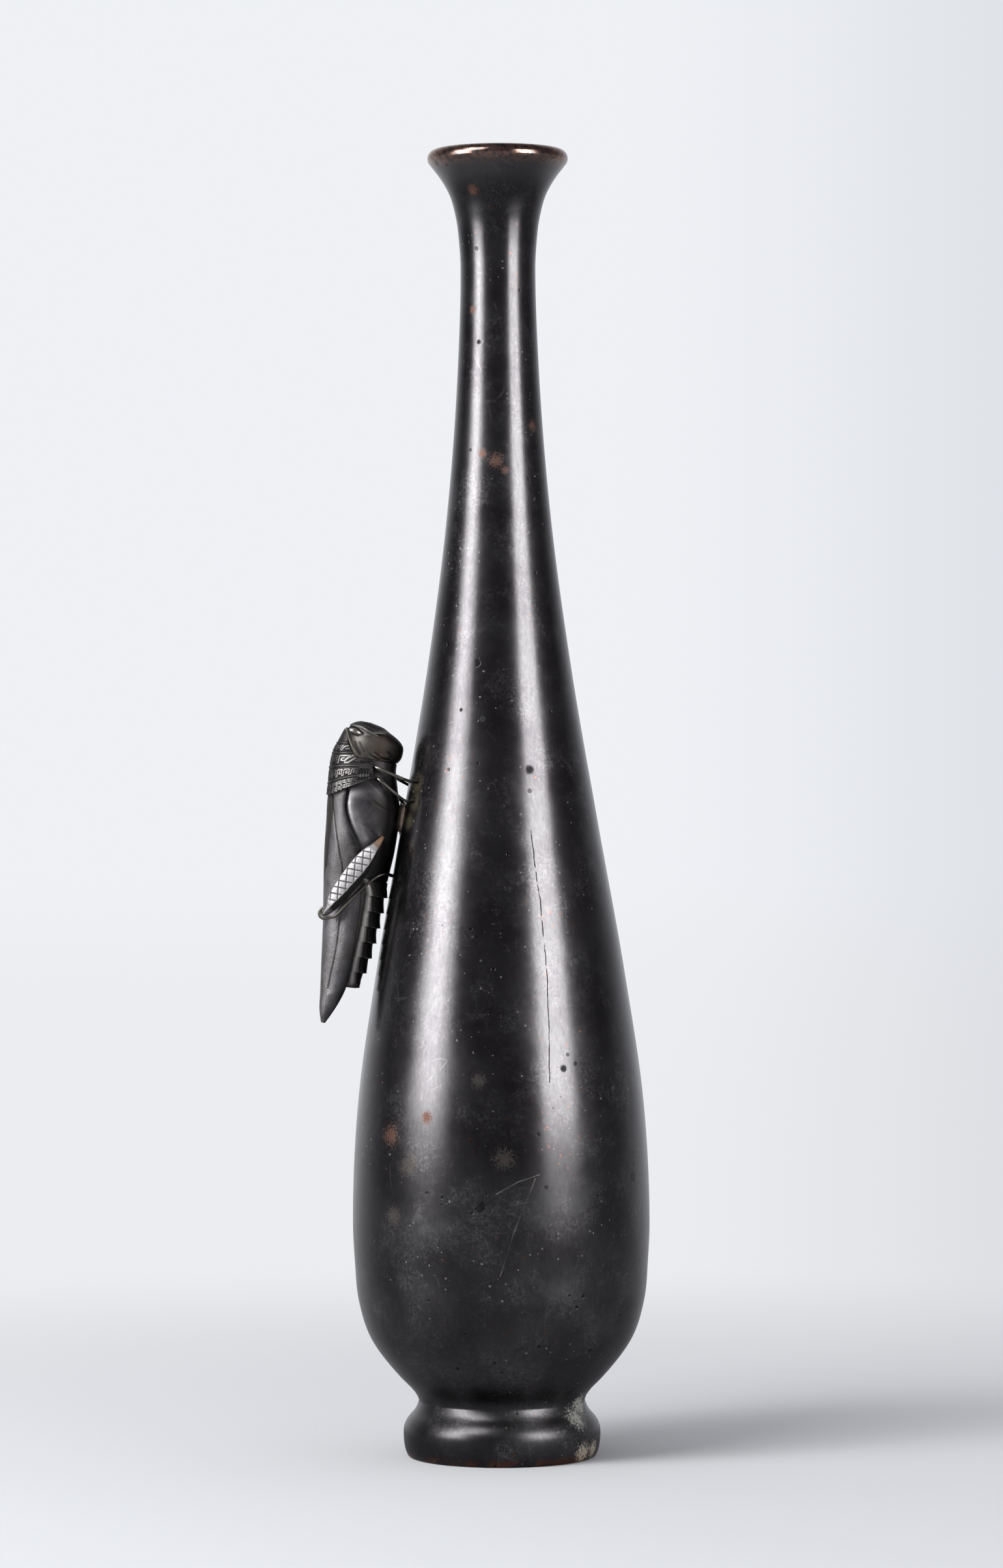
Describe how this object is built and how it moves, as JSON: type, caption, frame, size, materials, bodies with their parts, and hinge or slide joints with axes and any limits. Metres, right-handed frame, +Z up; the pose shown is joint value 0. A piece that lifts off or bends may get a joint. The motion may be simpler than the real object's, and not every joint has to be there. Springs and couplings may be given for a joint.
{
  "type": "bottle vase",
  "caption": "Slender cast bronze bottle for a flower stem, with a flared lip, a pear-shaped body, a ring foot and a life-size locust clinging to its side.",
  "frame": {"origin": "on the bottle's axis, in the plane that the foot ring stands on", "axes": "+Z up the bottle's axis, -X towards the locust, +Y to the locust's left side, away from the picture's camera"},
  "size_m": [0.0733, 0.066, 0.2899],
  "materials": {
    "body_patina": "dark brown-black patina, satin",
    "plate_patina": "dark brown patina, dull",
    "solder": "dull grey solder",
    "locust_patina": "dark grey patina, finely chased, satin",
    "collar_patina": "dark grey patina with a chased key pattern, satin",
    "wing_patina": "dark grey patina with raised veins, satin",
    "eye_polish": "worn bright",
    "dull_wire": "dull olive-brown wire",
    "worn_wire": "worn bright wire"
  },
  "bodies": {
    "root": {"bottle_shell": "body_patina", "base_disc": "plate_patina", "base_solder": "solder", "locust_thorax": "locust_patina", "locust_abdomen": "locust_patina", "locust_head": "locust_patina", "locust_pronotum": "collar_patina", "forewing_right": "wing_patina", "forewing_left": "wing_patina", "eye_right": "eye_polish", "eye_left": "eye_polish", "antenna_right": "dull_wire", "antenna_left": "dull_wire", "foreleg_right": "worn_wire", "foreleg_left": "worn_wire", "midleg_right": "worn_wire", "midleg_left": "worn_wire", "hind_femur_right": "locust_patina", "hind_femur_left": "locust_patina", "knee_pin_right": "worn_wire", "knee_pin_left": "worn_wire", "hind_tibia_right": "dull_wire", "hind_tibia_left": "dull_wire", "seat_pin": "dull_wire"}
  },
  "joints": []
}
